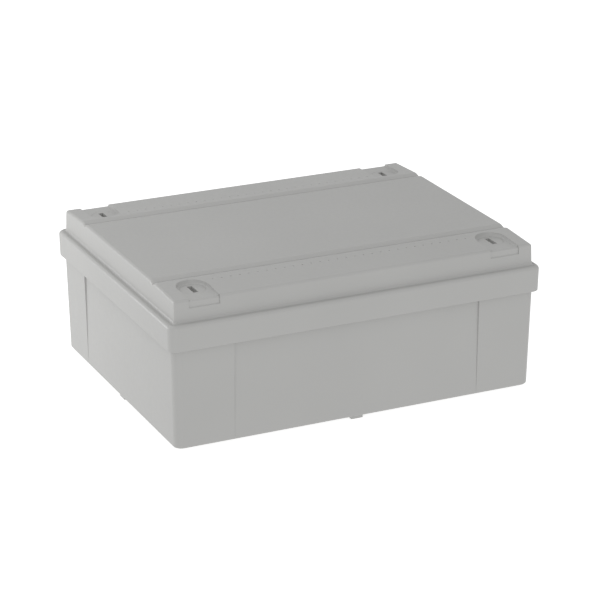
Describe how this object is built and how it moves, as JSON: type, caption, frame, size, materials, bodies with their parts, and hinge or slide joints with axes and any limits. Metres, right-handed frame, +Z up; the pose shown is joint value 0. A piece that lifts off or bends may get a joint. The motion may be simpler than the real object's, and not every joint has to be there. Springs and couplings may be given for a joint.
{
  "type": "electrical junction box",
  "caption": "Rectangular grey plastic electrical junction box with a raised rim, a flat lift-off lid held by quarter-turn screws, and terminal blocks on a rail inside.",
  "frame": {"origin": "centre of the box's footprint, on the plane under its feet", "axes": "+X along the box's length, +Y to the back, +Z up through the lid"},
  "size_m": [0.254, 0.1976, 0.0995],
  "materials": {
    "shell_plastic": "satin light grey moulded plastic",
    "screw_plastic": "satin light grey moulded plastic",
    "plug_plastic": "satin grey moulded plastic",
    "seal_rubber": "soft black rubber",
    "zinc_steel": "bright zinc plated steel",
    "clamp_brass": "bright brass",
    "terminal_grey": "mid grey polyamide",
    "terminal_blue": "blue polyamide",
    "terminal_green": "green polyamide with a yellow stripe",
    "stop_plastic": "dark grey polyamide"
  },
  "bodies": {
    "base": {"base_shell": "shell_plastic", "din_rail": "zinc_steel", "rail_screw_left": "zinc_steel", "rail_screw_right": "zinc_steel", "terminal_end_plate": "terminal_grey", "end_stop_left": "stop_plastic", "end_stop_right": "stop_plastic", "fixing_plug_front_left": "plug_plastic", "fixing_plug_front_right": "plug_plastic", "fixing_plug_back_left": "plug_plastic", "fixing_plug_back_right": "plug_plastic", "terminal_phase_1_body": "terminal_grey", "terminal_phase_1_clamp_bar": "clamp_brass", "terminal_phase_1_screw_front": "zinc_steel", "terminal_phase_1_screw_back": "zinc_steel", "terminal_phase_2_body": "terminal_grey", "terminal_phase_2_clamp_bar": "clamp_brass", "terminal_phase_2_screw_front": "zinc_steel", "terminal_phase_2_screw_back": "zinc_steel", "terminal_phase_3_body": "terminal_grey", "terminal_phase_3_clamp_bar": "clamp_brass", "terminal_phase_3_screw_front": "zinc_steel", "terminal_phase_3_screw_back": "zinc_steel", "terminal_neutral_body": "terminal_blue", "terminal_neutral_clamp_bar": "clamp_brass", "terminal_neutral_screw_front": "zinc_steel", "terminal_neutral_screw_back": "zinc_steel", "terminal_earth_body": "terminal_green", "terminal_earth_clamp_bar": "clamp_brass", "terminal_earth_screw_front": "zinc_steel", "terminal_earth_screw_back": "zinc_steel"},
    "lid": {"lid": "shell_plastic", "lid_gasket": "seal_rubber"},
    "lid_screw_front_left": {"lid_screw_front_left": "screw_plastic", "screw_seal_front_left": "seal_rubber"},
    "lid_screw_front_right": {"lid_screw_front_right": "screw_plastic", "screw_seal_front_right": "seal_rubber"},
    "lid_screw_back_left": {"lid_screw_back_left": "screw_plastic", "screw_seal_back_left": "seal_rubber"},
    "lid_screw_back_right": {"lid_screw_back_right": "screw_plastic", "screw_seal_back_right": "seal_rubber"}
  },
  "joints": [
    {"name": "lid_lift", "type": "slide", "parent": "base", "child": "lid", "axis": [0, 0, 1], "range_m": [0, 0.12]},
    {"name": "lid_screw_front_left_turn", "type": "hinge", "parent": "lid", "child": "lid_screw_front_left", "pos_m": [-0.1025, -0.0756, 0.09685], "axis": [0, 0, 1], "range_deg": [-90, 0]},
    {"name": "lid_screw_front_right_turn", "type": "hinge", "parent": "lid", "child": "lid_screw_front_right", "pos_m": [0.1025, -0.0756, 0.09685], "axis": [0, 0, 1], "range_deg": [-90, 0]},
    {"name": "lid_screw_back_left_turn", "type": "hinge", "parent": "lid", "child": "lid_screw_back_left", "pos_m": [-0.1025, 0.0756, 0.09685], "axis": [0, 0, 1], "range_deg": [-90, 0]},
    {"name": "lid_screw_back_right_turn", "type": "hinge", "parent": "lid", "child": "lid_screw_back_right", "pos_m": [0.1025, 0.0756, 0.09685], "axis": [0, 0, 1], "range_deg": [-90, 0]}
  ]
}
